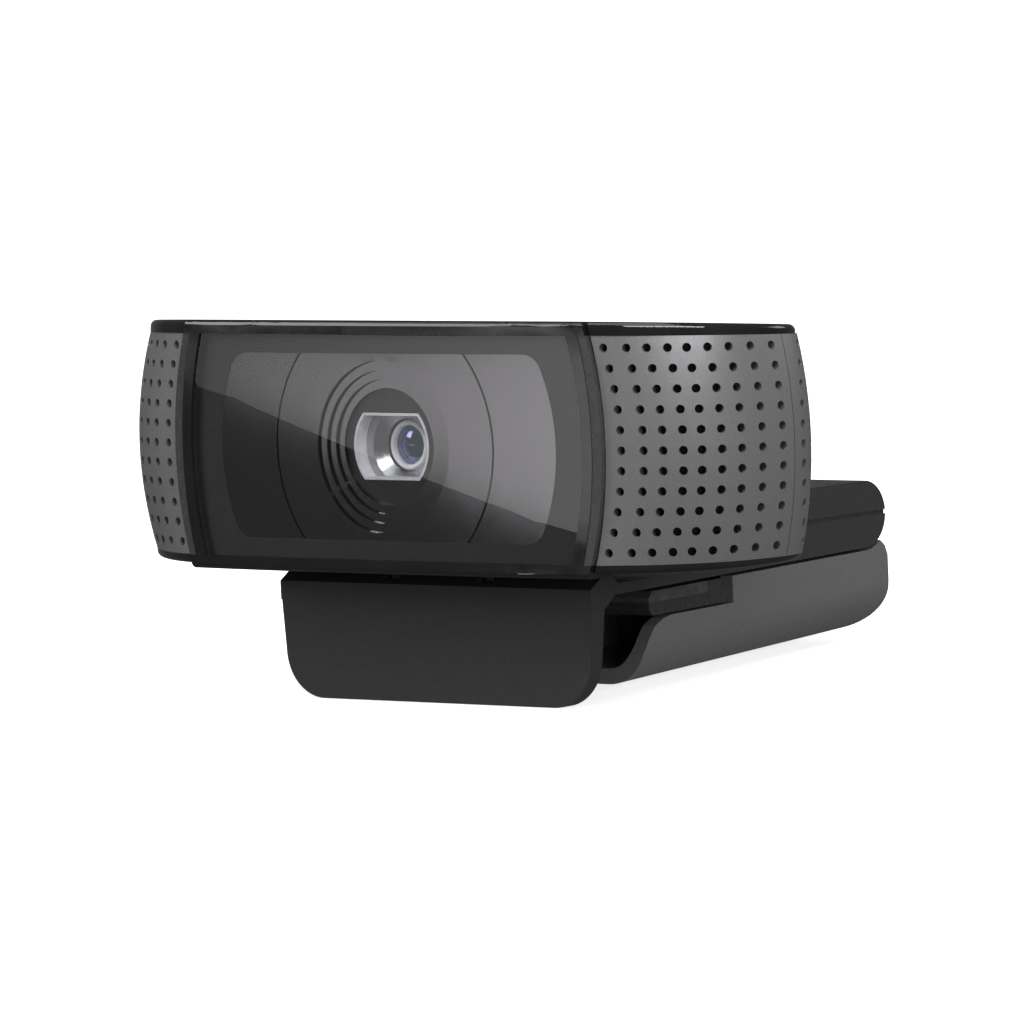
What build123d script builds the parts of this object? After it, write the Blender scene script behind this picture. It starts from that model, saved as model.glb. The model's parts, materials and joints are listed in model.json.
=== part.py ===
from build123d import *
import math
import os

# Desktop webcam on a folding screen clip, in millimetres.
# Everything is drawn in one frame: X to the right, Y towards the back, Z up, with the origin at the middle of
# the head's front. The head is then lifted about its tilt hinge, and the whole assembly is pitched so that the
# clip stands level on Z = 0.

# Stance
CLIP_PITCH = 3.0            # degrees between the drawing and the level clip
HEAD_LIFT = 1.4             # degrees that the head looks up from the drawing, about the tilt hinge
ROW_Y = -30.290             # puts the assembly's middle over Y = 0

# Head
HEAD_HALF_H = 14.5
CAP_T = 1.6
CORE_HALF_H = HEAD_HALF_H - CAP_T
TOP_FALL = 0.060            # the caps and seams close in towards the back, per millimetre
TOP_SEAM_FALL = 0.032
BOTTOM_CAP_T = 1.1
BOTTOM_RISE = 0.045
BOTTOM_SEAM_RISE = 0.022
BULGE = 1.7                 # how far the side grilles swell past the caps at mid height
WALL = 1.4
BOW_R = 500.0               # plan radius of the gently bowed front
SEAM_Y = 16.2               # seam between the side grilles and the rear shell
GAP = 0.12                  # shut line between neighbouring shells

# Plan outline of the right half at mid height: x, y, outward normal, share of the bulge
OUTLINE = [
    (28.0, 0.10, 0.10, -0.995, 0.0),
    (32.0, 0.65, 0.17, -0.985, 0.1),
    (37.0, 1.95, 0.33, -0.944, 0.5),
    (41.7, 4.40, 0.62, -0.785, 1.0),
    (44.9, 8.50, 0.87, -0.490, 1.0),
    (46.5, 13.0, 0.975, -0.22, 1.0),
    (47.0, 17.0, 1.00, 0.03, 1.0),
    (46.0, 20.4, 0.88, 0.47, 0.9),
    (43.1, 23.0, 0.48, 0.877, 0.7),
    (38.0, 24.1, 0.09, 0.996, 0.5),
    (29.0, 24.4, 0.02, 1.0, 0.4),
]

# Bezel: barrel-sided frame, half widths at mid height and at the rails
BEZEL_MID = 32.2
BEZEL_END = 29.8
BEZEL_CORE_END = 30.3       # half width at the rails' inner edge
BEZEL_FRONT = -1.0
BEZEL_BACK = 4.5
RAIL_SOFT = 0.6             # rounding of the rails' front edges
BAR_W = 1.3                 # light bar along each side of the bezel
STRIP_W = 2.7               # light bar and bezel strip together
BAR_BACK = 3.0
WINDOW_FRONT = -0.8
WINDOW_BACK = -0.16
PANEL_FRONT = -0.12
PANEL_BACK = 2.3
PANEL_MID = 25.2
PANEL_END = 22.5
PANEL_HALF_H = 10.7
ARC_R = 16.3                # seam arcs beside the lens
DISH = [(9.9, 0.30), (8.8, 0.65), (7.75, 1.0), (6.72, 2.3)]

# Lens stack
APERTURE_R = 5.33
APERTURE_HALF_H = 3.53
TRIM_W = 0.3
CONE_FRONT = 3.2
CONE_BACK = 4.8
BARREL_R = 2.9
BARREL_FRONT = 4.45
BARREL_BACK = 11.5
HOUSING_HALF = 6.6
BOARD_FRONT = 14.4
BOARD_T = 1.0

# Grille holes
HOLE_R = 0.5
ROWS = 11
ROW_PITCH = 2.30
ROW_CLOSING = 0.0016        # rows close in towards the back, share per millimetre
FRONT_COLUMNS = [6.3, 9.0, 11.3, 13.6, 15.7, 18.0, 20.4, 23.1, 26.0]   # arc length along the outline
REAR_COLUMNS = [29.6, 32.0, 34.4]
ROW_SHIFT = 2.0             # the columns bow with the bezel's barrel side
ROW_SHIFT_LOSS = 0.05       # and bow less with each column

GLAND_Z = -4.5              # cable exit in the back

# Tilt hinge under the head
TILT_Y = 11.0
TILT_Z = -16.2
TILT_PIN_R = 0.6
EAR_R = 1.25
EAR_X0 = 6.2
EAR_X1 = 7.8
RUNNING = 0.06              # radial running clearance on pins

# Clip
CLIP_HALF_W = 23.5
FLAP_FRONT = 8.0
FLAP_BOTTOM = -29.9
FLAP_HALF_BOTTOM = 22.6
FLAP_CORNER_R = 5.5
LEG_Y = 59.0                # leg hinge, at the middle of the arm's rear barrel
LEG_Z = -12.25
LOBE_R = 3.95
LEG_PIN_R = 1.5
KNUCKLE_HALF = 7.9
KNUCKLE_R = 3.7
SEAT_R = 4.3
LEG_WALL = 1.8
LEG_CORNER_R = 5.5
FOOT_Y = 31.95              # foot hinge
FOOT_Z = -18.6
FOOT_R = 1.4
FOOT_FRONT = 18.4
FOOT_PIN_R = 0.7
LUG_HALF = 5.8
PAD_Y = 52.0                # rubber pad under the leg's back end
THREAD_Y = 43.0             # 1/4 inch tripod thread
THREAD_R = 3.175
THREAD_LEN = 5.0

PITCH = math.radians(CLIP_PITCH)


# ---------------------------------------------------------------- helpers
def block(x0, x1, y0, y1, z0, z1):
    return Pos((x0 + x1) / 2, (y0 + y1) / 2, (z0 + z1) / 2) * Box(x1 - x0, y1 - y0, z1 - z0)


def rod_x(r, x0, x1, y, z):
    return Pos((x0 + x1) / 2, y, z) * Rot(0, 90, 0) * Cylinder(r, x1 - x0)


def rod_y(r, y0, y1, x=0.0, z=0.0):
    return Pos(x, (y0 + y1) / 2, z) * Rot(90, 0, 0) * Cylinder(r, y1 - y0)


def side_prism(edges, half):
    """Extrude a closed outline, drawn in the Y-Z plane, to both sides of the middle."""
    return extrude(make_face(edges), amount=half, both=True)


def yz(points):
    return [(0, y, z) for y, z in points]


def both_sides(shape):
    return [shape, mirror(shape, about=Plane.YZ)]


def group(shapes):
    return Compound(children=list(shapes))


def barrel_prism(mid, end, half_h, y0, y1):
    """A plate with flat top and bottom and gently bowed sides, running from y0 to y1."""
    outline = [
        Line((-end, y0, half_h), (end, y0, half_h)),
        ThreePointArc((end, y0, half_h), (mid, y0, 0), (end, y0, -half_h)),
        Line((end, y0, -half_h), (-end, y0, -half_h)),
        ThreePointArc((-end, y0, -half_h), (-mid, y0, 0), (-end, y0, half_h)),
    ]
    return extrude(make_face(outline), amount=y1 - y0, dir=(0, 1, 0))


def bow(y0):
    """Everything behind a bowed front face whose middle is at y0."""
    return Pos(0, BOW_R + y0, 0) * Cylinder(BOW_R, 60)


def bulge_at(z):
    return BULGE * (1 - (z / CORE_HALF_H) ** 2)


def outline_points(z, inset=0.0):
    lack = BULGE - bulge_at(z)
    points = []
    for x, y, nx, ny, share in OUTLINE:
        move = -(lack * share + inset)
        points.append((x + nx * move, y + ny * move, z))
    return points


def outline_curve(z, inset=0.0):
    return Spline(*outline_points(z, inset), tangents=[(1.0, 0.08, 0), (-1.0, 0.02, 0)])


def outline_face(z, inset=0.0):
    right = outline_curve(z, inset)
    left = mirror(right, about=Plane.YZ)
    back_y = (right @ 1).Y
    edges = [
        right,
        ThreePointArc(right @ 1, (0, back_y + 0.3, z), left @ 1),
        left,
        Line(left @ 0, right @ 0),
    ]
    return make_face(edges)


def outline_loft(inset, half_h):
    levels = [half_h * k / 4 for k in range(-4, 5)]
    return loft([outline_face(z, inset) for z in levels])


# ---------------------------------------------------------------- head shell
def closing_slab(top, top_fall, bottom, bottom_rise):
    """All between two planes that are level over the front edge and close in towards the back."""
    back = 30
    return side_prism(Polyline(*yz([
        (-5, top), (0, top), (back, top - top_fall * back),
        (back, bottom + bottom_rise * back), (0, bottom), (-5, bottom)]), close=True), 60)


def seam_slab():
    return closing_slab(CORE_HALF_H, TOP_SEAM_FALL, -CORE_HALF_H, BOTTOM_SEAM_RISE)


def head_walls():
    outer = outline_loft(0.0, CORE_HALF_H)
    inner = outline_loft(WALL, CORE_HALF_H + 0.4)
    opening = barrel_prism(BEZEL_MID + GAP, BEZEL_CORE_END + GAP, CORE_HALF_H + 1, -4, BEZEL_BACK + 1)
    ring = outer - inner - opening
    middle = block(-30, 30, -4, 10, -20, 20)
    return (ring - middle) & seam_slab()


def row_heights():
    return [(k - (ROWS - 1) / 2) * ROW_PITCH for k in range(ROWS)]


def hole_at(curve, s):
    point = curve.position_at(s, position_mode=PositionMode.LENGTH)
    point = Vector(point.X, point.Y, point.Z * (1 - ROW_CLOSING * point.Y))
    tangent = curve.tangent_at(s, position_mode=PositionMode.LENGTH)
    outward = Vector(tangent.Y, -tangent.X, 0)
    return Plane(origin=point, z_dir=outward) * Cylinder(HOLE_R, 5)


def front_holes():
    holes = []
    for z in row_heights():
        curve = outline_curve(z)
        bow_share = (z / (5 * ROW_PITCH)) ** 2
        for k, s in enumerate(FRONT_COLUMNS):
            holes.append(hole_at(curve, s - bow_share * (ROW_SHIFT - ROW_SHIFT_LOSS * k)))
    return holes


def rear_holes():
    holes = []
    for z in row_heights():
        curve = outline_curve(z)
        for s in REAR_COLUMNS:
            holes.append(hole_at(curve, s))
    return holes


def side_grilles(walls):
    right = walls & block(20, 60, -5, SEAM_Y - GAP / 2, -20, 20)
    right = right - front_holes()
    return mirror(right, about=Plane.YZ), right


def rear_shell(walls):
    shell = walls & block(-60, 60, SEAM_Y + GAP / 2, 30, -20, 20)
    holes = rear_holes()
    mirrored = [mirror(hole, about=Plane.YZ) for hole in holes]
    exit_hole = rod_y(3.3, 20, 30, 0, GLAND_Z)
    return shell - holes - mirrored - exit_hole


def tilted_plate(top, thick, fall, soft):
    """A cap's plate under a top that slopes down to the back, with a soft rim."""
    plate = extrude(outline_face(CORE_HALF_H), amount=thick, dir=(0, 0, 1))
    rim = [e for e in plate.edges() if abs(e.center().Z - CORE_HALF_H - thick) < 0.01]
    plate = fillet(rim, soft)
    plate = Pos(0, 0, top) * Rot(-math.degrees(math.atan(fall)), 0, 0) * Pos(0, 0, -CORE_HALF_H - thick) * plate
    return plate - barrel_prism(BEZEL_MID + GAP, BEZEL_END + GAP, HEAD_HALF_H + 1, -4, BEZEL_BACK + GAP)


def top_cap():
    return tilted_plate(HEAD_HALF_H, 3.0, TOP_FALL, 0.75) - seam_slab()


def bottom_cap():
    plate = tilted_plate(CORE_HALF_H + BOTTOM_CAP_T, 2.5, BOTTOM_RISE, 0.6)
    plate = mirror(plate, about=Plane.XY) - seam_slab()
    slot = block(EAR_X0 - 0.1, EAR_X1 + 0.1, TILT_Y - EAR_R - 0.1, TILT_Y + EAR_R + 0.1, -16, -12)
    return plate - both_sides(slot)


# ---------------------------------------------------------------- front
def window_opening(y0, y1):
    return barrel_prism(BEZEL_MID - STRIP_W, BEZEL_CORE_END - STRIP_W, CORE_HALF_H, y0, y1)


def bezel_blank():
    return barrel_prism(BEZEL_MID, BEZEL_END, HEAD_HALF_H, -3, BEZEL_BACK)


def light_bar_zone():
    """The space outside the bezel's inner strips, between the two rails."""
    slab = block(-40, 40, -5, BAR_BACK, -CORE_HALF_H, CORE_HALF_H)
    return slab - barrel_prism(BEZEL_MID - BAR_W, BEZEL_CORE_END - BAR_W, CORE_HALF_H + 1, -6, 8)


def led_pocket():
    return block(29.9, 31.6, BAR_BACK, BEZEL_BACK, -1.5, 1.5)


def front_bezel():
    body = bezel_blank() - light_bar_zone()
    body = body - window_opening(-5, 8)
    body = body - both_sides(led_pocket())
    body = body & bow(BEZEL_FRONT)
    body = body & closing_slab(HEAD_HALF_H, TOP_FALL, -HEAD_HALF_H, BOTTOM_RISE)
    rail_edges = [e for e in body.edges() if e.length > 50 and e.center().Y < 0 and abs(e.center().Z) > 14]
    return fillet(rail_edges, RAIL_SOFT)


def light_bars():
    bars = bezel_blank() & light_bar_zone() & bow(BEZEL_FRONT + 0.08)
    left = bars & block(-40, 0, -5, 5, -20, 20)
    right = bars & block(0, 40, -5, 5, -20, 20)
    return left, right


def front_window():
    return (window_opening(-3, PANEL_BACK) & bow(WINDOW_FRONT)) - bow(WINDOW_BACK)


def panel_block():
    plate = barrel_prism(PANEL_MID, PANEL_END, PANEL_HALF_H, -4, PANEL_BACK + 1)
    return fillet(plate.edges().filter_by(Axis.Y), 2.6)


def mask_frame():
    return (window_opening(-3, PANEL_BACK) & bow(PANEL_FRONT)) - panel_block()


def face_panel():
    plate = window_opening(-3, PANEL_BACK) & bow(PANEL_FRONT) & panel_block()
    for r, y1 in DISH:
        plate = plate - rod_y(r, -3, y1)
    groove = rod_y(ARC_R + 0.13, -3, 0.45) - rod_y(ARC_R - 0.13, -4, 1)
    return plate - groove


def cut_circle(r, half_h, y0, y1):
    return rod_y(r, y0, y1) & block(-20, 20, y0 - 1, y1 + 1, -half_h, half_h)


def aperture_plate():
    disc = rod_y(DISH[-1][0], 1.5, PANEL_BACK)
    return disc - cut_circle(APERTURE_R + TRIM_W, APERTURE_HALF_H + TRIM_W, 0, 4)


def aperture_trim():
    ring = cut_circle(APERTURE_R + TRIM_W, APERTURE_HALF_H + TRIM_W, 1.4, CONE_FRONT)
    return ring - cut_circle(APERTURE_R, APERTURE_HALF_H, 0, 5)


# ---------------------------------------------------------------- lens stack
def turned(points):
    """Turn an outline of radius and depth points about the lens axis."""
    outline = Polyline(*[(r, y, 0) for r, y in points], close=True)
    return revolve(make_face(outline), Axis.Y)


def lens_cone():
    return turned([(5.9, CONE_FRONT), (4.25, CONE_FRONT), (3.05, 4.3), (3.05, CONE_BACK), (5.9, CONE_BACK)])


def lens_barrel():
    return turned([
        (BARREL_R - 0.2, BARREL_FRONT), (BARREL_R, BARREL_FRONT + 0.2), (BARREL_R, BARREL_BACK),
        (1.6, BARREL_BACK), (1.6, 11.0), (2.3, 11.0), (2.3, 9.8), (1.5, 9.8), (1.5, 5.9), (2.3, 5.9),
        (2.3, BARREL_FRONT),
    ])


def front_element():
    rim = rod_y(2.3, 4.4, 5.9)
    return rim & Pos(0, 4.55 + 5.2, 0) * Sphere(5.2)


def rear_element():
    return rod_y(2.3, 9.8, 11.0)


def focus_coil():
    return rod_y(3.6, 7.0, 10.0) - rod_y(BARREL_R, 6, 11)


def focus_housing():
    body = block(-HOUSING_HALF, HOUSING_HALF, CONE_BACK, BOARD_FRONT, -HOUSING_HALF, HOUSING_HALF)
    body = body - block(-5.7, 5.7, 5.6, 20, -5.7, 5.7)
    return body - rod_y(3.2, 4, 6)


def focus_magnets():
    return group(both_sides(block(4.2, 5.7, 6.5, 10.5, -2.2, 2.2)))


def leaf_springs():
    plates = []
    for y in (5.6, 11.2):
        frame = block(-5.7, 5.7, y, y + 0.1, -5.7, 5.7) - rod_y(3.05, y - 1, y + 1)
        plates.append(frame)
    return group(plates)


def infrared_filter():
    return block(-3.2, 3.2, 13.0, 13.4, -3.2, 3.2)


def image_sensor():
    return block(-4.2, 4.2, 13.4, BOARD_FRONT, -4.0, 4.0)


# ---------------------------------------------------------------- head inside
POSTS = [(x, z) for x in (-24.0, 24.0) for z in (-8.5, 8.5)]


def chassis():
    plate = barrel_prism(BEZEL_MID - STRIP_W, BEZEL_CORE_END - STRIP_W, CORE_HALF_H, PANEL_BACK, 3.8)
    body = plate - rod_y(5.9, 0, 6)
    for x, z in POSTS:
        body = body + rod_y(2.0, 3.7, BOARD_FRONT, x, z)
    for side in (-1, 1):
        x0, x1 = sorted((side * 23.0, side * 25.0))
        body = body + block(x0, x1, 9.5, 11.0, -9.0, 9.0)
        x0, x1 = sorted((side * 24.5, side * 40.0))
        body = body + block(x0, x1, 9.5, 11.0, -4.0, 4.0)
    for x, z in POSTS:
        body = body - rod_y(0.7, 10.0, BOARD_FRONT + 1, x, z)
    return body


def main_board():
    board = block(-38, 38, BOARD_FRONT, BOARD_FRONT + BOARD_T, -10.8, 10.8)
    for x, z in POSTS:
        board = board - rod_y(0.8, 14, 16, x, z)
    return board


def board_screws():
    screws = []
    for x, z in POSTS:
        shank = rod_y(0.7, 10.0, BOARD_FRONT + BOARD_T, x, z)
        head = rod_y(1.5, BOARD_FRONT + BOARD_T, BOARD_FRONT + BOARD_T + 1.0, x, z)
        recess = block(x - 0.9, x + 0.9, 15.9, 17, z - 0.2, z + 0.2)
        screws.append(shank + head - recess)
    return group(screws)


def thermal_pad():
    return block(-6, 6, 15.4, 16.8, -5, 5)


def heat_spreader():
    plate = block(-22, 22, 16.8, 17.6, -8, 8)
    return fillet(plate.edges().filter_by(Axis.Y), 1.5)


def cable_header():
    shell = block(-34, -26, 15.4, 18.6, -4, 1)
    return shell - block(-33.4, -26.6, 16.4, 19, -3.4, 0.4)


def cable_gland():
    outer = rod_y(3.3, 20.5, 24.7, 0, GLAND_Z) + rod_y(4.3, 24.7, 25.9, 0, GLAND_Z)
    nose = Pos(0, 25.9 + 0.9, GLAND_Z) * Rot(-90, 0, 0) * Cone(3.6, 2.9, 1.8)
    inner_ring = rod_y(4.1, 20.5, 21.7, 0, GLAND_Z)
    return outer + nose + inner_ring - rod_y(2.1, 19, 30, 0, GLAND_Z)


def microphone_boot(side):
    body = rod_y(3.0, 5.4, 9.5, side * 36.5, 0)
    return body - rod_y(1.5, 5, 8.4, side * 36.5, 0)


def microphone(side):
    can = rod_y(1.5, 6.6, 8.4, side * 36.5, 0)
    return can - rod_y(0.35, 6, 7.2, side * 36.5, 0)


def grille_cloths():
    sheet = outline_loft(WALL, 12.2) - outline_loft(WALL + 0.3, 12.6)
    right = sheet & block(33.4, 60, -2, SEAM_Y - 0.6, -12.2, 12.2)
    return mirror(right, about=Plane.YZ), right


def tilt_bracket():
    plate = block(-10, 10, 8.6, 13.4, -CORE_HALF_H, -CORE_HALF_H + 1.5) & seam_slab()
    for side in (-1, 1):
        x0, x1 = sorted((side * EAR_X0, side * EAR_X1))
        ear = block(x0, x1, TILT_Y - EAR_R, TILT_Y + EAR_R, TILT_Z, -CORE_HALF_H + 0.6)
        ear = ear + rod_x(EAR_R, x0, x1, TILT_Y, TILT_Z)
        plate = plate + ear
    return plate - rod_x(TILT_PIN_R + RUNNING, -12, 12, TILT_Y, TILT_Z)


# ---------------------------------------------------------------- clip arm
def under_arm(y):
    return -17.25 + (LEG_Z - LOBE_R + 17.25) * (y - 12.3) / (LEG_Y - 12.3)


def flap():
    top = -16.4
    outline = Polyline(
        (-CLIP_HALF_W, 0, top), (CLIP_HALF_W, 0, top),
        (FLAP_HALF_BOTTOM, 0, FLAP_BOTTOM), (-FLAP_HALF_BOTTOM, 0, FLAP_BOTTOM), close=True)
    plate = extrude(make_face(outline), amount=15, dir=(0, 1, 0))
    corners = [e for e in plate.edges().filter_by(Axis.Y) if e.center().Z < top - 1]
    plate = fillet(corners, FLAP_CORNER_R)
    section = Polyline(*yz([(FLAP_FRONT, -31), (9.9, -31), (10.6, -17.3), (10.6, -15), (FLAP_FRONT, -15)]), close=True)
    return plate & side_prism(section, 30)


def arm_body():
    front = [(FLAP_FRONT, -18.5), (FLAP_FRONT, -16.3), (9.95, -15.05), (10.4, -14.77), (11.0, -14.66),
             (11.6, -14.77), (12.1, -15.1), (12.9, -15.9), (33.5, -15.9), (35.0, -15.4), (41.0, -9.2),
             (43.0, LEG_Z + LOBE_R), (LEG_Y, LEG_Z + LOBE_R)]
    under = [(LEG_Y, LEG_Z - LOBE_R), (12.3, -17.25), (10.57, -18.6), (FLAP_FRONT, -18.5)]
    edges = [
        Polyline(*yz(front)),
        ThreePointArc((0, LEG_Y, LEG_Z + LOBE_R), (0, LEG_Y + LOBE_R, LEG_Z), (0, LEG_Y, LEG_Z - LOBE_R)),
        Polyline(*yz(under)),
    ]
    return side_prism(edges, CLIP_HALF_W)


def arm_cover_block():
    return block(-20.5, 20.5, 44.0, 53.2, LEG_Z + LOBE_R - 1.2, LEG_Z + LOBE_R)


def clip_arm():
    arm = flap() + arm_body()
    arm = arm - arm_cover_block()
    for side in (-1, 1):
        x0, x1 = sorted((side * 9.8, side * 19.0))
        arm = arm - block(x0, x1, 45.0, 52.2, -14.9, LEG_Z + LOBE_R - 1.0)
    arm = arm - block(-KNUCKLE_HALF - 0.3, KNUCKLE_HALF + 0.3, 54.4, 70, -20, 0)
    arm = arm - rod_x(LEG_PIN_R, -19, 19, LEG_Y, LEG_Z)
    slot = block(EAR_X0 - 0.2, EAR_X1 + 0.7, 8.7, 12.7, -19, -14)
    arm = arm - both_sides(slot)
    arm = arm - rod_x(TILT_PIN_R, -11, 11, TILT_Y, TILT_Z)
    groove = block(CLIP_HALF_W - 0.25, CLIP_HALF_W + 1, 44, 70, LEG_Z - 0.25, LEG_Z + 0.25)
    return arm - both_sides(groove)


def arm_cover():
    cover = arm_cover_block()
    rim = [e for e in cover.edges() if abs(e.center().Z - (LEG_Z + LOBE_R)) < 0.01]
    return chamfer(rim, 0.15)


def tilt_washers():
    ring = rod_x(1.2, EAR_X1 + 0.3, EAR_X1 + 0.7, TILT_Y, TILT_Z) - rod_x(TILT_PIN_R, 0, 20, TILT_Y, TILT_Z)
    return group(both_sides(ring))


def leg_washers():
    ring = rod_x(3.0, KNUCKLE_HALF + 0.1, KNUCKLE_HALF + 0.3, LEG_Y, LEG_Z)
    ring = ring - rod_x(LEG_PIN_R, 0, 20, LEG_Y, LEG_Z)
    return group(both_sides(ring))


def flap_pad():
    pad = block(-19, 19, 10.3, 11.9, -27.2, -19.4)
    pad = fillet(pad.edges().filter_by(Axis.Y), 2.0)
    behind = Polyline(*yz([(9.9, -31), (10.6, -17.3), (10.9, -17.3), (10.75, -31)]), close=True)
    lean = side_prism(behind, 30)
    return pad & lean


def arm_pad():
    profile = Polyline(*yz([
        (12.6, under_arm(12.6)), (17.6, under_arm(17.6)),
        (17.6, under_arm(17.6) - 0.5), (12.6, under_arm(12.6) - 0.5)]), close=True)
    return side_prism(profile, 19)


# ---------------------------------------------------------------- clip leg
def leg_floor(y):
    """Underside of the leg, level once the head is pitched."""
    return -27.1 + math.tan(PITCH) * (y - 37.5)


def wall_top(y):
    return -20.55 + 0.0223 * (y - FOOT_FRONT)


def upright(y, shape):
    """Stand a shape on the leg's underside, square to the table."""
    return Pos(0, y, leg_floor(y)) * Rot(CLIP_PITCH, 0, 0) * shape


def leg_outline():
    front = [(17.3, leg_floor(17.3)), (17.3, -24.6), (18.0, -23.0), (19.2, -21.5), (20.8, -20.75),
             (22.2, wall_top(22.2)), (33.7, wall_top(33.7)), (33.7, under_arm(33.7) - 0.35),
             (LEG_Y, LEG_Z - SEAT_R)]
    lip = math.radians(-50)
    middle = math.radians(-70)
    lip_y = LEG_Y + SEAT_R * math.cos(lip)
    lip_z = LEG_Z + SEAT_R * math.sin(lip)
    back = [(lip_y, lip_z), (62.6, -16.2), (63.1, -17.4), (63.1, -21.4)]
    corner_mid = (61.75, -24.55)
    corner_end = (58.6, leg_floor(58.6))
    return [
        Polyline(*yz(front)),
        ThreePointArc((0, LEG_Y, LEG_Z - SEAT_R),
                      (0, LEG_Y + SEAT_R * math.cos(middle), LEG_Z + SEAT_R * math.sin(middle)),
                      (0, lip_y, lip_z)),
        Polyline(*yz(back)),
        ThreePointArc((0, 63.1, -21.4), (0, *corner_mid), (0, *corner_end)),
        Line((0, *corner_end), (0, 17.3, leg_floor(17.3))),
    ]


def trough(half, lift, corner):
    """A long bar on the leg's underside, rounded along its lower edges."""
    bar = Box(2 * half, 90, 30)
    low = [e for e in bar.edges().filter_by(Axis.Y) if e.center().Z < 0]
    bar = fillet(low, corner)
    return upright(40.0, Pos(0, 0, 15 + lift) * bar)


def leg_shell():
    body = side_prism(leg_outline(), CLIP_HALF_W) & trough(CLIP_HALF_W, 0.0, LEG_CORNER_R)
    inner = [(10, leg_floor(10)), (58.0, leg_floor(58.0) + LEG_WALL), (61.3, -22.0), (61.3, -10), (10, -10)]
    cavity = side_prism(Polyline(*yz(inner), close=True), 30)
    cavity = cavity & trough(CLIP_HALF_W - LEG_WALL, LEG_WALL, LEG_CORNER_R - LEG_WALL)
    block_outline = Polyline(*yz([
        (54.2, leg_floor(54.2) + 0.5), (54.2, -17.4), (LEG_Y - KNUCKLE_R, LEG_Z), (LEG_Y + KNUCKLE_R, LEG_Z),
        (LEG_Y + KNUCKLE_R, -21.0), (58.0, leg_floor(58.0) + 0.5)]), close=True)
    knuckle = side_prism(block_outline, KNUCKLE_HALF)
    knuckle = knuckle + rod_x(KNUCKLE_R, -KNUCKLE_HALF, KNUCKLE_HALF, LEG_Y, LEG_Z)
    lug_outline = Polyline(*yz([
        (29.4, leg_floor(29.4) + 0.5), (FOOT_Y - FOOT_R, FOOT_Z), (FOOT_Y + FOOT_R, FOOT_Z),
        (34.4, leg_floor(34.4) + 0.5)]), close=True)
    lug = side_prism(lug_outline, LUG_HALF) + rod_x(FOOT_R, -LUG_HALF, LUG_HALF, FOOT_Y, FOOT_Z)
    boss = upright(THREAD_Y, Pos(0, 0, 3.6) * Cylinder(7.4, 6.8))
    shell = body - cavity + knuckle + lug + boss
    shell = shell - rod_x(LEG_PIN_R + RUNNING, -20, 20, LEG_Y, LEG_Z)
    shell = shell - rod_x(FOOT_PIN_R + RUNNING, -10, 10, FOOT_Y, FOOT_Z)
    return shell - upright(THREAD_Y, Pos(0, 0, 2.5) * Cylinder(5.2, 6.8))


def tripod_nut():
    nut = upright(THREAD_Y, Pos(0, 0, 2.95) * Cylinder(5.2, 5.9))
    return nut - upright(THREAD_Y, Pos(0, 0, THREAD_LEN / 2) * Cylinder(THREAD_R, THREAD_LEN))


# ---------------------------------------------------------------- foot
def foot_top(y):
    return FOOT_Z + FOOT_R + 0.0223 * (y - FOOT_Y)


def foot_bottom(y):
    return FOOT_Z - FOOT_R + 0.0223 * (y - FOOT_Y)


def foot_outline():
    front = FOOT_FRONT
    return [
        Polyline(*yz([
            (FOOT_Y, foot_top(FOOT_Y)), (front + 0.7, foot_top(front + 0.7)), (front, foot_top(front) - 0.7),
            (front, foot_bottom(front) + 0.7), (front + 0.7, foot_bottom(front + 0.7)),
            (FOOT_Y, foot_bottom(FOOT_Y))])),
        ThreePointArc((0, FOOT_Y, foot_bottom(FOOT_Y)), (0, FOOT_Y + FOOT_R, FOOT_Z), (0, FOOT_Y, foot_top(FOOT_Y))),
    ]


def foot_pad_zone():
    mid0 = foot_top(FOOT_FRONT) - 1.3
    mid1 = foot_top(29.2) - 1.3
    return side_prism(Polyline(*yz([(17, mid0), (29.2, mid1), (29.2, -15), (17, -15)]), close=True), 30)


def foot_solid():
    body = side_prism(foot_outline(), CLIP_HALF_W - 0.1)
    return body - block(-LUG_HALF - 0.2, LUG_HALF + 0.2, 29.9, 36, -22, -15)


def foot_block():
    return foot_solid() - foot_pad_zone() - rod_x(FOOT_PIN_R, -14, 14, FOOT_Y, FOOT_Z)


def foot_pad():
    return foot_solid() & foot_pad_zone()


# ---------------------------------------------------------------- stance and export
def lift_head(shape):
    return Pos(0, TILT_Y, TILT_Z) * Rot(-HEAD_LIFT, 0, 0) * Pos(0, -TILT_Y, -TILT_Z) * shape


def to_row(shape):
    """Pitch the drawing so that the clip stands level, then set the base on Z = 0 under the middle."""
    return Pos(0, ROW_Y, ROW_Z) * Rot(-CLIP_PITCH, 0, 0) * shape


def row_point(y, z):
    return (
        round(y * math.cos(PITCH) + z * math.sin(PITCH) + ROW_Y, 4),
        round(-y * math.sin(PITCH) + z * math.cos(PITCH) + ROW_Z, 4),
    )


# The flap's back lower edge is the lowest point of the clip
ROW_Z = 9.955 * math.sin(PITCH) - FLAP_BOTTOM * math.cos(PITCH)


def leg_pad():
    thick = row_point(PAD_Y, leg_floor(PAD_Y))[1]
    pad = Box(22, 9.5, thick)
    pad = fillet(pad.edges().filter_by(Axis.Z), 2.5)
    return upright(PAD_Y, Pos(0, 0, -thick / 2) * pad)


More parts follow.
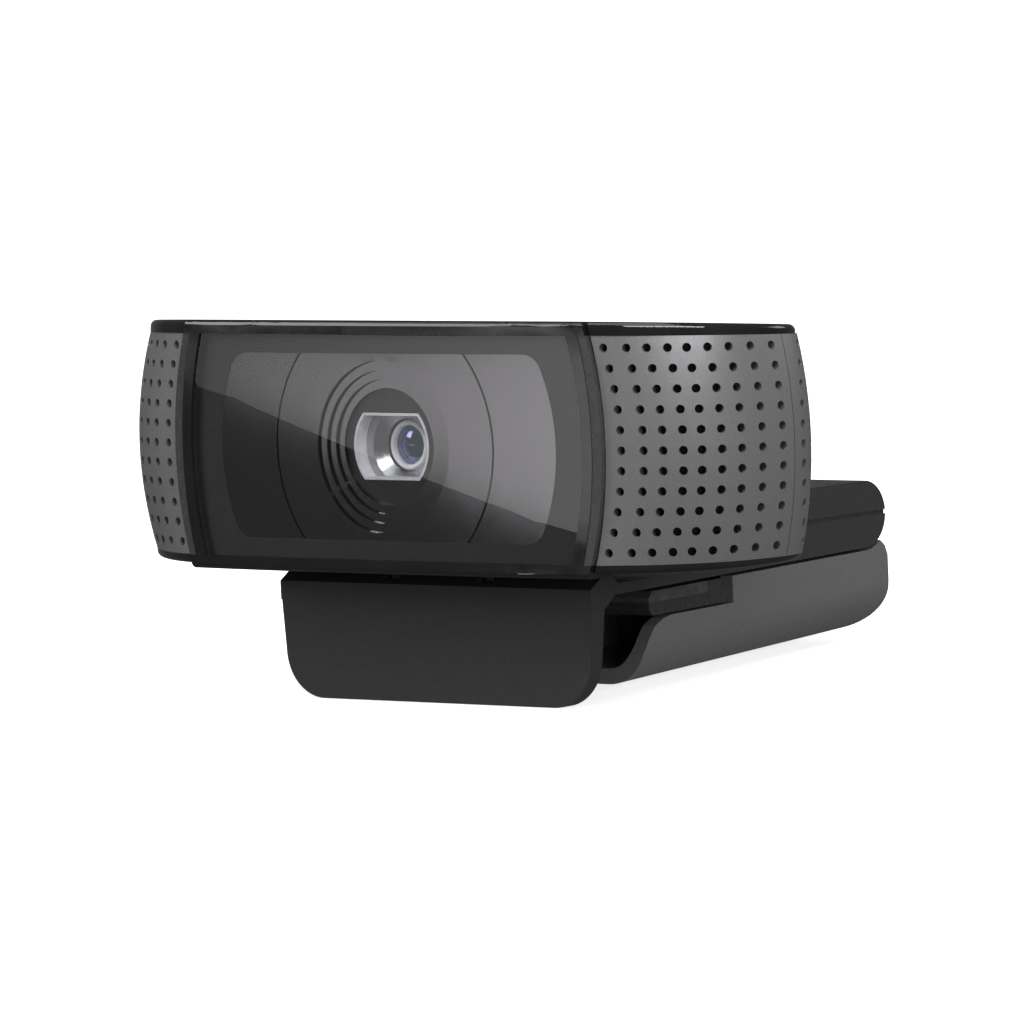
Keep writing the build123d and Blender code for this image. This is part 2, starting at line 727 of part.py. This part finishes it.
def head_nodes():
    walls = head_walls()
    left_grille, right_grille = side_grilles(walls)
    left_bar, right_bar = light_bars()
    left_cloth, right_cloth = grille_cloths()
    return {
        "front_bezel": front_bezel(),
        "front_window": front_window(),
        "mask_frame": mask_frame(),
        "face_panel": face_panel(),
        "aperture_plate": aperture_plate(),
        "aperture_trim": aperture_trim(),
        "lens_cone": lens_cone(),
        "left_light_bar": left_bar,
        "right_light_bar": right_bar,
        "left_grille": left_grille,
        "right_grille": right_grille,
        "rear_shell": rear_shell(walls),
        "top_cap": top_cap(),
        "bottom_cap": bottom_cap(),
        "left_grille_cloth": left_cloth,
        "right_grille_cloth": right_cloth,
        "chassis": chassis(),
        "main_board": main_board(),
        "board_screws": board_screws(),
        "thermal_pad": thermal_pad(),
        "heat_spreader": heat_spreader(),
        "cable_header": cable_header(),
        "cable_gland": cable_gland(),
        "left_microphone_boot": microphone_boot(-1),
        "right_microphone_boot": microphone_boot(1),
        "left_microphone": microphone(-1),
        "right_microphone": microphone(1),
        "indicator_leds": group(both_sides(led_pocket())),
        "focus_housing": focus_housing(),
        "focus_magnets": focus_magnets(),
        "leaf_springs": leaf_springs(),
        "infrared_filter": infrared_filter(),
        "image_sensor": image_sensor(),
        "tilt_bracket": tilt_bracket(),
        "lens_barrel": lens_barrel(),
        "front_element": front_element(),
        "rear_element": rear_element(),
        "focus_coil": focus_coil(),
    }


def clip_nodes():
    return {
        "clip_arm": clip_arm(),
        "arm_cover": arm_cover(),
        "flap_pad": flap_pad(),
        "arm_pad": arm_pad(),
        "tilt_pin": rod_x(TILT_PIN_R, -11, 11, TILT_Y, TILT_Z),
        "tilt_washers": tilt_washers(),
        "leg_pin": rod_x(LEG_PIN_R, -19, 19, LEG_Y, LEG_Z),
        "leg_washers": leg_washers(),
        "leg_shell": leg_shell(),
        "tripod_nut": tripod_nut(),
        "leg_pad": leg_pad(),
        "foot_block": foot_block(),
        "foot_pad": foot_pad(),
        "foot_pin": rod_x(FOOT_PIN_R, -14, 14, FOOT_Y, FOOT_Z),
    }


def main():
    os.makedirs("parts", exist_ok=True)
    nodes = {name: lift_head(shape) for name, shape in head_nodes().items()}
    nodes.update(clip_nodes())
    low = [1e9] * 3
    high = [-1e9] * 3
    for name, shape in nodes.items():
        placed = to_row(shape)
        export_step(placed, f"parts/{name}.step")
        box = placed.bounding_box()
        for k, (a, b) in enumerate(zip(box.min, box.max)):
            low[k] = min(low[k], a)
            high[k] = max(high[k], b)
    print("nodes", len(nodes))
    print("box", [round(v, 3) for v in low], [round(v, 3) for v in high])
    print("tilt hinge", row_point(TILT_Y, TILT_Z))
    print("leg hinge", row_point(LEG_Y, LEG_Z))
    print("foot hinge", row_point(FOOT_Y, FOOT_Z))
    print("thread mouth", row_point(THREAD_Y, leg_floor(THREAD_Y)))
    look_up = math.radians(CLIP_PITCH + HEAD_LIFT)
    print("lens axis", (0, round(-math.cos(look_up), 6), round(math.sin(look_up), 6)))


main()
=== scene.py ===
import json
import math

import bpy
from mathutils import Matrix, Vector

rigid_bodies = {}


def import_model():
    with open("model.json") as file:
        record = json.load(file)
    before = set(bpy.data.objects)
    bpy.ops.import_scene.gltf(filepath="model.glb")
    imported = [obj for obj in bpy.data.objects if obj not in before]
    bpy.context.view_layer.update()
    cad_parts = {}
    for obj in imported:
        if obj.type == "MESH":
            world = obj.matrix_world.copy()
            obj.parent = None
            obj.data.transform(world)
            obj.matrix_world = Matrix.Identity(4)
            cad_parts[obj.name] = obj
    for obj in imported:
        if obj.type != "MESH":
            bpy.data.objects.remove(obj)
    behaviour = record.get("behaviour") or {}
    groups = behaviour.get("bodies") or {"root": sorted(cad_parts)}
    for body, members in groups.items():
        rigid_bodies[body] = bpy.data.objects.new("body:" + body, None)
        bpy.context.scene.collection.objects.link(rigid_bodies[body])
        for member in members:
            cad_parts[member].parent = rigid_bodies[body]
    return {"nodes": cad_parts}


for leftover in list(bpy.data.objects):
    bpy.data.objects.remove(leftover)

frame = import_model()
nodes = frame["nodes"]
bpy.context.view_layer.update()

MM = 0.001
PER_METRE = 1000.0                  # texture scales are per metre, pattern sizes in millimetres
DRAWN_PITCH = math.radians(3.0)     # the drawing frame is pitched by this much over the level clip
HEAD_LIFT = math.radians(1.4)       # the head is lifted from the drawing, about its tilt hinge
HINGE_Y, HINGE_Z = 11.0, -16.2
ROW_Y, ROW_Z = -30.290, 30.380      # where the drawing's origin stands in the row frame, mm

# The photograph's viewpoint, in the drawing frame
VIEW_AZIMUTH = math.radians(40.28)
VIEW_ELEVATION = math.radians(4.63)
VIEW_ROLL = math.radians(2.52)
VIEW_POINT = (636.7, -728.7, 70.6)
LENS = 299.0

# Studio cards, in metres; the glare card's slanting lower edge is the glare's edge on the window
GLARE_OUTLINE = ((-0.30, 0.1480), (0.30, 0.1095), (0.30, 0.1725), (-0.30, 0.1485))
STRIP_OUTLINE = ((-0.45, -0.05), (0.45, -0.05), (0.45, 0.05), (-0.45, 0.05))
# Card: name, direction, distance, outline, glow at its left and right ends
CARDS = (
    ("glare_card", (-0.64, -0.76, -0.08), 1.2, GLARE_OUTLINE, 0.35, 2.2),
    ("overhead_strip", (-0.05, -0.35, 1.0), 0.55, STRIP_OUTLINE, 2.5, 2.5),
)
# Lamp: name, place, aim, size, height, watts, whether it shows in reflections
LAMPS = (
    ("top_softbox", (-0.1, -0.1, 0.9), (0, 0, 0.03), 0.9, 0.5, 3.0, True),
    ("grille_softbox", (0.095, -0.10, 0.155), (0.035, -0.015, 0.035), 0.14, 0.05, 0.26, True),
    ("left_softbox", (-0.7, -0.55, 0.5), (0, 0, 0.03), 0.5, 0.5, 4.0, True),
    ("right_softbox", (0.9, -0.35, 0.16), (0, 0, 0.02), 0.8, 0.28, 7.0, False),
    ("rear_softbox", (0.45, 0.8, 0.5), (0, 0, 0.02), 0.5, 0.3, 1.5, True),
)
ROOM_LIGHT = 0.32
ROOM_MIRRORED = 0.13
FLOOR_RADIUS = 6.0
FLOOR_CORNERS = 96

# The middle part of a pattern's values, over which a colour or roughness changes
PATTERN_LOW, PATTERN_HIGH = 0.3, 0.7


# ---------------------------------------------------------------- frames
def drawn_dir(x, y, z):
    c, s = math.cos(DRAWN_PITCH), math.sin(DRAWN_PITCH)
    return Vector((x, y * c + z * s, -y * s + z * c))


def drawn_point(x, y, z):
    """A point of the drawing frame in millimetres, in the row frame in metres."""
    p = drawn_dir(x, y, z)
    return Vector((p.x, p.y + ROW_Y, p.z + ROW_Z)) * MM


def lens_centre():
    """The middle of the head's front, which the lens axis passes through."""
    c, s = math.cos(HEAD_LIFT), math.sin(HEAD_LIFT)
    return drawn_point(0, HINGE_Y - HINGE_Y * c - HINGE_Z * s, HINGE_Z + HINGE_Y * s - HINGE_Z * c)


# ---------------------------------------------------------------- camera
def add_camera():
    cos_e, sin_e = math.cos(VIEW_ELEVATION), math.sin(VIEW_ELEVATION)
    right = drawn_dir(math.cos(VIEW_AZIMUTH), math.sin(VIEW_AZIMUTH), 0)
    back = drawn_dir(math.sin(VIEW_AZIMUTH) * cos_e, -math.cos(VIEW_AZIMUTH) * cos_e, sin_e)
    up = back.cross(right)
    across = right * math.cos(VIEW_ROLL) - up * math.sin(VIEW_ROLL)
    upward = right * math.sin(VIEW_ROLL) + up * math.cos(VIEW_ROLL)
    data = bpy.data.cameras.new("camera")
    data.lens = LENS
    data.sensor_width = 36.0
    data.clip_start = 0.05
    data.clip_end = 50.0
    camera = bpy.data.objects.new("camera", data)
    bpy.context.scene.collection.objects.link(camera)
    turn = Matrix((across, upward, back)).transposed().to_4x4()
    camera.matrix_world = Matrix.Translation(drawn_point(*VIEW_POINT)) @ turn
    bpy.context.scene.camera = camera


# ---------------------------------------------------------------- studio
def new_mesh_object(name, vertices, faces):
    mesh = bpy.data.meshes.new(name)
    mesh.from_pydata(vertices, [], faces)
    mesh.update()
    made = bpy.data.objects.new(name, mesh)
    bpy.context.scene.collection.objects.link(made)
    return made


def emission_material(name, left_strength, right_strength):
    """A warm white glow that changes evenly from one side of the card to the other."""
    mat = bpy.data.materials.new(name)
    mat.use_nodes = True
    tree = mat.node_tree
    tree.nodes.clear()
    out = tree.nodes.new("ShaderNodeOutputMaterial")
    glow = tree.nodes.new("ShaderNodeEmission")
    glow.inputs["Color"].default_value = (1.0, 0.99, 0.98, 1)
    place = tree.nodes.new("ShaderNodeTexCoord")
    parts = tree.nodes.new("ShaderNodeSeparateXYZ")
    span = tree.nodes.new("ShaderNodeMapRange")
    span.inputs["To Min"].default_value = left_strength
    span.inputs["To Max"].default_value = right_strength
    tree.links.new(place.outputs["Generated"], parts.inputs[0])
    tree.links.new(parts.outputs["X"], span.inputs["Value"])
    tree.links.new(span.outputs["Result"], glow.inputs["Strength"])
    tree.links.new(glow.outputs[0], out.inputs["Surface"])
    return mat


def soft_card(name, direction, distance, outline, left_strength, right_strength):
    """A glowing card that faces the object, with its outline in metres to the right and up on the card."""
    away = Vector(direction).normalized()
    side = Vector((-away.y, away.x, 0)).normalized()
    upward = away.cross(side)
    if upward.z < 0:
        upward = -upward
    corners = [away * distance + side * a + upward * b for a, b in outline]
    card = new_mesh_object(name, corners, [tuple(range(len(corners)))])
    card.data.materials.append(emission_material(name, left_strength, right_strength))
    card.visible_camera = False


def area_light(name, position, aim, size, size_y, power, mirrored):
    data = bpy.data.lights.new(name, "AREA")
    data.shape = "RECTANGLE"
    data.size = size
    data.size_y = size_y
    data.energy = power
    lamp = bpy.data.objects.new(name, data)
    lamp.location = position
    lamp.rotation_mode = "QUATERNION"
    lamp.rotation_quaternion = (Vector(position) - Vector(aim)).to_track_quat("Z", "Y")
    lamp.visible_camera = False
    lamp.visible_glossy = mirrored
    bpy.context.scene.collection.objects.link(lamp)


def add_world():
    """White to the camera, a lit room to soft light, and a dim one in reflections."""
    world = bpy.data.worlds.new("studio")
    bpy.context.scene.world = world
    world.use_nodes = True
    tree = world.node_tree
    tree.nodes.clear()
    out = tree.nodes.new("ShaderNodeOutputWorld")
    path = tree.nodes.new("ShaderNodeLightPath")
    result = None
    for ray, strength in ((None, ROOM_LIGHT), ("Is Glossy Ray", ROOM_MIRRORED), ("Is Camera Ray", 1.0)):
        sky = tree.nodes.new("ShaderNodeBackground")
        sky.inputs["Color"].default_value = (1, 1, 1, 1)
        sky.inputs["Strength"].default_value = strength
        if ray is None:
            result = sky
            continue
        mix = tree.nodes.new("ShaderNodeMixShader")
        tree.links.new(path.outputs[ray], mix.inputs[0])
        tree.links.new(result.outputs[0], mix.inputs[1])
        tree.links.new(sky.outputs[0], mix.inputs[2])
        result = mix
    tree.links.new(result.outputs[0], out.inputs["Surface"])


def add_floor():
    turns = [math.tau * k / FLOOR_CORNERS for k in range(FLOOR_CORNERS)]
    rim = [(FLOOR_RADIUS * math.cos(a), FLOOR_RADIUS * math.sin(a), 0) for a in turns]
    floor = new_mesh_object("floor", rim, [tuple(range(FLOOR_CORNERS))])
    mat = bpy.data.materials.new("floor")
    mat.use_nodes = True
    shader = mat.node_tree.nodes["Principled BSDF"]
    shader.inputs["Base Color"].default_value = (0.9, 0.9, 0.9, 1)
    shader.inputs["Roughness"].default_value = 0.9
    shader.inputs["Specular IOR Level"].default_value = 0.0
    shader.inputs["Emission Color"].default_value = (1, 1, 1, 1)
    shader.inputs["Emission Strength"].default_value = 0.75
    floor.data.materials.append(mat)
    floor.visible_glossy = False
    floor.visible_diffuse = False


# ---------------------------------------------------------------- materials
class Recipe:
    """A Principled material with object-space patterns; lengths are in millimetres."""

    def __init__(self, name, colour, rough, metal=0.0, specular=0.5):
        self.mat = bpy.data.materials.new(name)
        self.mat.use_nodes = True
        self.tree = self.mat.node_tree
        self.shader = self.tree.nodes["Principled BSDF"]
        self.shader.inputs["Base Color"].default_value = (*colour, 1)
        self.shader.inputs["Roughness"].default_value = rough
        self.shader.inputs["Metallic"].default_value = metal
        self.shader.inputs["Specular IOR Level"].default_value = specular
        self.place = self.tree.nodes.new("ShaderNodeTexCoord").outputs["Object"]
        self.height = None

    def noise(self, size, detail=3.0, stretch=(1, 1, 1)):
        """Noise whose blobs are about size millimetres across, as a 0 to 1 value."""
        mapping = self.tree.nodes.new("ShaderNodeMapping")
        mapping.inputs["Scale"].default_value = stretch
        self.tree.links.new(self.place, mapping.inputs["Vector"])
        tex = self.tree.nodes.new("ShaderNodeTexNoise")
        tex.inputs["Scale"].default_value = PER_METRE / size
        tex.inputs["Detail"].default_value = detail
        self.tree.links.new(mapping.outputs[0], tex.inputs["Vector"])
        return tex.outputs["Fac"]

    def cells(self, size):
        tex = self.tree.nodes.new("ShaderNodeTexVoronoi")
        tex.inputs["Scale"].default_value = PER_METRE / size
        self.tree.links.new(self.place, tex.inputs["Vector"])
        return tex.outputs["Distance"]

    def remap(self, value, low, high, bottom, top):
        node = self.tree.nodes.new("ShaderNodeMapRange")
        node.inputs["From Min"].default_value = low
        node.inputs["From Max"].default_value = high
        node.inputs["To Min"].default_value = bottom
        node.inputs["To Max"].default_value = top
        self.tree.links.new(value, node.inputs["Value"])
        return node.outputs["Result"]

    def vary_colour(self, value, dark, light):
        ramp = self.tree.nodes.new("ShaderNodeValToRGB")
        ramp.color_ramp.elements[0].position = PATTERN_LOW
        ramp.color_ramp.elements[0].color = (*dark, 1)
        ramp.color_ramp.elements[1].position = PATTERN_HIGH
        ramp.color_ramp.elements[1].color = (*light, 1)
        self.tree.links.new(value, ramp.inputs["Fac"])
        self.tree.links.new(ramp.outputs["Color"], self.shader.inputs["Base Color"])
        return self

    def vary_rough(self, value, smooth, rough):
        roughness = self.remap(value, PATTERN_LOW, PATTERN_HIGH, smooth, rough)
        self.tree.links.new(roughness, self.shader.inputs["Roughness"])
        return self

    def bump(self, value, depth, strength=1.0):
        """Adds a relief of depth millimetres."""
        node = self.tree.nodes.new("ShaderNodeBump")
        node.inputs["Distance"].default_value = depth * MM
        node.inputs["Strength"].default_value = strength
        self.tree.links.new(value, node.inputs["Height"])
        if self.height is not None:
            self.tree.links.new(self.height, node.inputs["Normal"])
        self.height = node.outputs["Normal"]
        self.tree.links.new(self.height, self.shader.inputs["Normal"])
        return self

    def rings(self, pitch):
        """Turned rings about the lens axis."""
        centre = self.tree.nodes.new("ShaderNodeVectorMath")
        centre.operation = "SUBTRACT"
        centre.inputs[1].default_value = lens_centre()
        self.tree.links.new(self.place, centre.inputs[0])
        turned = self.tree.nodes.new("ShaderNodeVectorRotate")
        turned.rotation_type = "X_AXIS"
        turned.inputs["Angle"].default_value = DRAWN_PITCH + HEAD_LIFT
        self.tree.links.new(centre.outputs[0], turned.inputs["Vector"])
        wave = self.tree.nodes.new("ShaderNodeTexWave")
        wave.wave_type = "RINGS"
        wave.rings_direction = "Y"
        # a ring pattern of scale 1 repeats every tau / 20
        wave.inputs["Scale"].default_value = PER_METRE / pitch / 20 * math.tau
        self.tree.links.new(turned.outputs[0], wave.inputs["Vector"])
        return wave.outputs["Fac"]


def piano_black(name):
    r = Recipe(name, (0.007, 0.007, 0.0075), 0.05, specular=0.5)
    r.vary_colour(r.noise(6.0), (0.005, 0.005, 0.0055), (0.009, 0.009, 0.0095))
    r.vary_rough(r.noise(2.5, 4.0), 0.03, 0.07)
    r.bump(r.noise(4.0, 2.0), 0.003)
    return r.mat


def graphite_paint(name, dark=(0.21, 0.21, 0.215), light=(0.25, 0.25, 0.257), rough=(0.40, 0.48), metal=0.7):
    r = Recipe(name, dark, 0.35, metal=metal)
    r.vary_colour(r.noise(0.18, 5.0), dark, light)
    r.vary_rough(r.noise(0.6, 4.0), *rough)
    r.bump(r.noise(0.12, 3.0), 0.008)
    return r.mat


def textured_black(name, dark=(0.020, 0.020, 0.0205), light=(0.025, 0.025, 0.0255),
                   rough=(0.42, 0.5), grain=0.22):
    r = Recipe(name, dark, 0.5)
    r.vary_colour(r.noise(0.5, 4.0), dark, light)
    r.vary_rough(r.noise(1.2, 4.0), *rough)
    r.bump(r.noise(grain, 3.0), 0.006)
    r.bump(r.cells(grain * 1.4), 0.003)
    return r.mat


def rubber(name, tone=0.02):
    r = Recipe(name, (tone, tone, tone), 0.8, specular=0.35)
    r.vary_colour(r.noise(0.8, 5.0), (tone * 0.75,) * 3, (tone * 1.35,) * 3)
    r.vary_rough(r.noise(1.5), 0.68, 0.88)
    r.bump(r.noise(0.15, 4.0), 0.02)
    return r.mat


def metal(name, tone, rough=0.3, grain=(1, 12, 1), size=1.2):
    r = Recipe(name, tone, rough, metal=1.0)
    value = r.noise(size, 4.0, grain)
    r.vary_colour(value, tuple(0.85 * v for v in tone), tone)
    r.vary_rough(value, rough * 0.8, rough * 1.25)
    r.bump(value, 0.004)
    return r.mat


def turned_metal(name, tone, rough, pitch=0.12):
    r = Recipe(name, tone, rough, metal=1.0)
    value = r.rings(pitch)
    r.vary_rough(r.noise(0.8), rough * 0.8, rough * 1.2)
    r.vary_colour(r.noise(0.7), tuple(0.9 * v for v in tone), tone)
    r.bump(value, 0.006)
    return r.mat


def board(name):
    r = Recipe(name, (0.01, 0.09, 0.035), 0.35)
    r.vary_colour(r.noise(2.0, 2.0, (1, 1, 6)), (0.006, 0.06, 0.022), (0.012, 0.11, 0.045))
    r.vary_rough(r.noise(1.0), 0.28, 0.42)
    r.bump(r.noise(0.6, 2.0, (6, 1, 1)), 0.02)
    return r.mat


def moulding(name, tone, rough=0.5):
    r = Recipe(name, tone, rough)
    r.vary_colour(r.noise(1.0, 4.0), tuple(0.85 * v for v in tone), tuple(min(1.1 * v, 1) for v in tone))
    r.vary_rough(r.noise(0.9), rough * 0.85, rough * 1.15)
    r.bump(r.noise(0.3), 0.008)
    return r.mat


def clear_sheet(name, tint, ior=1.5, coating=((1, 1, 1), (1, 1, 1))):
    """A thin clear sheet: what is behind it shows unbent, under a Fresnel reflection from its front."""
    mat = bpy.data.materials.new(name)
    mat.use_nodes = True
    tree = mat.node_tree
    tree.nodes.clear()
    out = tree.nodes.new("ShaderNodeOutputMaterial")
    see = tree.nodes.new("ShaderNodeBsdfTransparent")
    see.inputs["Color"].default_value = (*tint, 1)
    mirror = tree.nodes.new("ShaderNodeBsdfGlossy")
    mirror.inputs["Roughness"].default_value = 0.0
    facing = tree.nodes.new("ShaderNodeLayerWeight")
    ramp = tree.nodes.new("ShaderNodeValToRGB")
    ramp.color_ramp.elements[0].position = 0.05
    ramp.color_ramp.elements[0].color = (*coating[0], 1)
    ramp.color_ramp.elements[1].position = 0.35
    ramp.color_ramp.elements[1].color = (*coating[1], 1)
    tree.links.new(facing.outputs["Facing"], ramp.inputs["Fac"])
    tree.links.new(ramp.outputs["Color"], mirror.inputs["Color"])
    fresnel = tree.nodes.new("ShaderNodeFresnel")
    fresnel.inputs["IOR"].default_value = ior
    geometry = tree.nodes.new("ShaderNodeNewGeometry")
    outside = tree.nodes.new("ShaderNodeMath")
    outside.operation = "SUBTRACT"
    outside.inputs[0].default_value = 1.0
    tree.links.new(geometry.outputs["Backfacing"], outside.inputs[1])
    share = tree.nodes.new("ShaderNodeMath")
    share.operation = "MULTIPLY"
    tree.links.new(fresnel.outputs[0], share.inputs[0])
    tree.links.new(outside.outputs[0], share.inputs[1])
    mix = tree.nodes.new("ShaderNodeMixShader")
    tree.links.new(share.outputs[0], mix.inputs[0])
    tree.links.new(see.outputs[0], mix.inputs[1])
    tree.links.new(mirror.outputs[0], mix.inputs[2])
    tree.links.new(mix.outputs[0], out.inputs["Surface"])
    return mat


def panel_print(name, dark, light, metal_share, rough):
    r = Recipe(name, dark, rough, metal=metal_share)
    r.vary_colour(r.noise(0.35, 5.0), dark, light)
    r.vary_rough(r.noise(0.8, 3.0), rough * 0.9, rough * 1.1)
    return r.mat


def dress(material, *names):
    for name in names:
        target = nodes[name]
        if not target.material_slots:
            target.data.materials.append(material)
        for k in range(len(target.material_slots)):
            target.material_slots[k].material = material


def dress_nodes():
    black = piano_black("piano_black")
    dress(black, "front_bezel", "top_cap", "bottom_cap")
    dress(graphite_paint("graphite"), "left_grille", "right_grille")
    dress(graphite_paint("graphite_rear"), "rear_shell")
    dress(textured_black("clip_black"), "clip_arm")
    dress(textured_black("foot_black", (0.014,) * 3, (0.024,) * 3), "foot_block")
    dress(textured_black("leg_grey", (0.084, 0.084, 0.085), (0.096, 0.096, 0.097), (0.36, 0.44)), "leg_shell")
    dress(piano_black("cover_black"), "arm_cover")
    dress(rubber("black_rubber", 0.018), "flap_pad", "arm_pad", "leg_pad", "cable_gland",
          "left_microphone_boot", "right_microphone_boot")
    dress(rubber("foot_rubber", 0.035), "foot_pad")
    dress(rubber("grey_silicone", 0.3), "thermal_pad")
    dress(rubber("acoustic_cloth", 0.010), "left_grille_cloth", "right_grille_cloth")
    dress(clear_sheet("window_glass", (0.96, 0.96, 0.97)), "front_window")
    dress(panel_print("mask_black", (0.004,) * 3, (0.006,) * 3, 0.0, 0.5), "mask_frame")
    dress(panel_print("panel_grey", (0.116, 0.112, 0.115), (0.128, 0.124, 0.127), 1.0, 0.06), "face_panel")
    dress(panel_print("aperture_black", (0.008,) * 3, (0.012,) * 3, 0.0, 0.3), "aperture_plate")
    dress(moulding("trim_grey", (0.42, 0.42, 0.43), 0.35), "aperture_trim")
    dress(turned_metal("turned_silver", (0.50, 0.51, 0.53), 0.22), "lens_cone")
    dress(moulding("light_guide", (0.035, 0.035, 0.037), 0.25), "left_light_bar", "right_light_bar")
    dress(moulding("led_resin", (0.8, 0.83, 0.9), 0.2), "indicator_leds")
    dress(moulding("chassis_black", (0.02,) * 3, 0.6), "chassis", "focus_housing", "image_sensor")
    dress(moulding("barrel_grey", (0.7, 0.7, 0.71), 0.3), "lens_barrel")
    dress(moulding("header_ivory", (0.75, 0.72, 0.62), 0.45), "cable_header")
    dress(board("solder_mask"), "main_board")
    dress(metal("zinc", (0.5, 0.5, 0.5), 0.3), "board_screws")
    dress(metal("pressed_aluminium", (0.75, 0.75, 0.76), 0.35),
          "heat_spreader", "left_microphone", "right_microphone")
    dress(metal("nickel", (0.55, 0.55, 0.56), 0.2), "focus_magnets", "leaf_springs")
    dress(metal("pin_steel", (0.5, 0.5, 0.51), 0.25), "leg_pin", "leg_washers", "foot_pin")
    dress(metal("blackened_steel", (0.06, 0.06, 0.062), 0.4), "tilt_bracket", "tilt_pin", "tilt_washers")
    dress(metal("copper", (0.72, 0.35, 0.12), 0.3, (1, 30, 1), 0.5), "focus_coil")
    dress(metal("brass", (0.75, 0.6, 0.3), 0.25, (1, 1, 20), 0.8), "tripod_nut")
    cyan_to_violet = ((0.30, 0.95, 1.0), (0.70, 0.45, 1.0))
    dress(clear_sheet("lens_glass", (0.25, 0.45, 0.55), 2.6, cyan_to_violet), "front_element")
    dress(clear_sheet("rear_glass", (0.6, 0.75, 0.7)), "rear_element")
    dress(clear_sheet("filter_glass", (0.5, 0.7, 0.75)), "infrared_filter")


# ---------------------------------------------------------------- build
def main():
    bpy.context.scene.view_settings.view_transform = "Standard"
    add_camera()
    add_world()
    add_floor()
    for card in CARDS:
        soft_card(*card)
    for lamp in LAMPS:
        area_light(*lamp)
    dress_nodes()


main()
bpy.context.view_layer.update()
